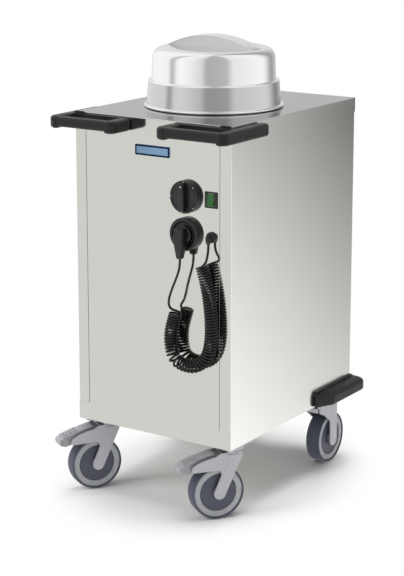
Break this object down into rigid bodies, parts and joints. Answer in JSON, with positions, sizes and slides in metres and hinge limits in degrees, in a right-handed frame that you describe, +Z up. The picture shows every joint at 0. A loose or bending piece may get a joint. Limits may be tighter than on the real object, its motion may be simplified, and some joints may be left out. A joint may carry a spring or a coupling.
{
  "type": "plate dispenser cart",
  "caption": "Heated plate dispenser trolley: steel cabinet with a sprung plate well under a lift-off dome, two push handles, corner bumpers and swivel castors.",
  "frame": {"origin": "on the floor, under the middle of the cart's footprint (cords left out)", "axes": "+Z up, the control panel faces -Y, +X to the right as seen from the front"},
  "size_m": [0.4939, 0.64, 1.0643],
  "materials": {
    "stainless_sheet": "fine brushed stainless sheet",
    "polished_steel": "polished stainless steel",
    "zinc_plated_steel": "grey zinc-plated pressed steel",
    "black_plastic": "black moulded plastic with a fine grain",
    "black_rubber": "black rubber, satin",
    "badge": "bare aluminium plate with a dark blue border",
    "well_steel": "plain stainless steel",
    "heater_sheath": "dull heater sheath",
    "spring_steel": "spring wire",
    "thermostat_case": "plain metal case",
    "green_rocker": "green translucent rocker",
    "nickel_pins": "nickel-plated pins",
    "tread_rubber": "dark blue-grey solid rubber tyre",
    "grey_rim": "light grey plastic rim",
    "dark_guard": "dark grey plastic thread guard",
    "pedal_grey": "light grey moulded pedal"
  },
  "bodies": {
    "cabinet": {"top_plate": "stainless_sheet", "side_panel_left": "stainless_sheet", "side_panel_right": "stainless_sheet", "front_panel": "stainless_sheet", "back_panel": "stainless_sheet", "base_plate": "stainless_sheet", "castor_pads": "zinc_plated_steel", "handle_left": "black_plastic", "handle_right": "black_plastic", "handle_screws": "zinc_plated_steel", "bumper_left": "black_plastic", "bumper_right": "black_plastic", "badge_plate": "badge", "well_tube": "well_steel", "well_foot": "well_steel", "heater_element": "heater_sheath", "guide_rods": "well_steel", "spring_hangers": "zinc_plated_steel", "lift_springs": "spring_steel", "thermostat_body": "thermostat_case", "switch_frame": "black_plastic", "parking_socket": "black_plastic", "cord_gland": "black_rubber", "plug_body": "black_rubber", "plug_pins": "nickel_pins", "castor_plates": "zinc_plated_steel", "castor_bolts": "zinc_plated_steel", "kingpins": "zinc_plated_steel", "curly_cord": "black_rubber", "cord_lead_gland": "black_rubber", "cord_lead_plug": "black_rubber"},
    "lid": {"lid": "polished_steel", "lid_grip": "polished_steel"},
    "lift": {"plate_platform": "well_steel", "lift_carriage": "zinc_plated_steel"},
    "knob": {"thermostat_knob": "black_plastic"},
    "rocker": {"rocker_button": "green_rocker"},
    "fork_front_left": {"fork_front_left": "zinc_plated_steel", "axle_front_left": "zinc_plated_steel"},
    "wheel_front_left": {"tyre_front_left": "tread_rubber", "rim_front_left": "grey_rim", "wheel_guards_front_left": "dark_guard"},
    "pedal_front_left": {"pedal_front_left": "pedal_grey"},
    "fork_front_right": {"fork_front_right": "zinc_plated_steel", "axle_front_right": "zinc_plated_steel"},
    "wheel_front_right": {"tyre_front_right": "tread_rubber", "rim_front_right": "grey_rim", "wheel_guards_front_right": "dark_guard"},
    "pedal_front_right": {"pedal_front_right": "pedal_grey"},
    "fork_rear_left": {"fork_rear_left": "zinc_plated_steel", "axle_rear_left": "zinc_plated_steel"},
    "wheel_rear_left": {"tyre_rear_left": "tread_rubber", "rim_rear_left": "grey_rim", "wheel_guards_rear_left": "dark_guard"},
    "fork_rear_right": {"fork_rear_right": "zinc_plated_steel", "axle_rear_right": "zinc_plated_steel"},
    "wheel_rear_right": {"tyre_rear_right": "tread_rubber", "rim_rear_right": "grey_rim", "wheel_guards_rear_right": "dark_guard"}
  },
  "joints": [
    {"name": "lid_lift", "type": "slide", "parent": "cabinet", "child": "lid", "axis": [0, 0, 1], "range_m": [0, 0.25]},
    {"name": "platform_travel", "type": "slide", "parent": "cabinet", "child": "lift", "axis": [0, 0, -1], "range_m": [0, 0.44], "stiffness_N_per_m": 650, "springref_m": -0.16, "deforming": ["lift_springs"]},
    {"name": "knob_turn", "type": "hinge", "parent": "cabinet", "child": "knob", "pos_m": [0.0989, -0.252, 0.737], "axis": [0, -1, 0], "range_deg": [-270, 0]},
    {"name": "rocker_tilt", "type": "hinge", "parent": "cabinet", "child": "rocker", "pos_m": [0.1634, -0.249, 0.736], "axis": [1, 0, 0], "range_deg": [0, 12]},
    {"name": "swivel_front_left", "type": "hinge", "parent": "cabinet", "child": "fork_front_left", "pos_m": [-0.1671, -0.192, 0.15], "axis": [0, 0, 1], "continuous": true},
    {"name": "roll_front_left", "type": "hinge", "parent": "fork_front_left", "child": "wheel_front_left", "pos_m": [-0.18564, -0.22286, 0.0625], "axis": [0.8572, -0.515, 0], "continuous": true},
    {"name": "brake_front_left", "type": "hinge", "parent": "fork_front_left", "child": "pedal_front_left", "pos_m": [-0.19079, -0.23143, 0.14], "axis": [0.8572, -0.515, 0], "range_deg": [0, 10]},
    {"name": "swivel_front_right", "type": "hinge", "parent": "cabinet", "child": "fork_front_right", "pos_m": [0.1769, -0.192, 0.15], "axis": [0, 0, 1], "continuous": true},
    {"name": "roll_front_right", "type": "hinge", "parent": "fork_front_right", "child": "wheel_front_right", "pos_m": [0.15626, -0.22149, 0.0625], "axis": [0.8192, -0.5736, 0], "continuous": true},
    {"name": "brake_front_right", "type": "hinge", "parent": "fork_front_right", "child": "pedal_front_right", "pos_m": [0.15052, -0.22968, 0.14], "axis": [0.8192, -0.5736, 0], "range_deg": [0, 10]},
    {"name": "swivel_rear_left", "type": "hinge", "parent": "cabinet", "child": "fork_rear_left", "pos_m": [-0.1671, 0.2, 0.15], "axis": [0, 0, 1], "continuous": true},
    {"name": "roll_rear_left", "type": "hinge", "parent": "fork_rear_left", "child": "wheel_rear_left", "pos_m": [-0.1671, 0.236, 0.0625], "axis": [-1, 0, 0], "continuous": true},
    {"name": "swivel_rear_right", "type": "hinge", "parent": "cabinet", "child": "fork_rear_right", "pos_m": [0.1769, 0.2, 0.15], "axis": [0, 0, 1], "continuous": true},
    {"name": "roll_rear_right", "type": "hinge", "parent": "fork_rear_right", "child": "wheel_rear_right", "pos_m": [0.1769, 0.236, 0.0625], "axis": [-1, 0, 0], "continuous": true}
  ]
}
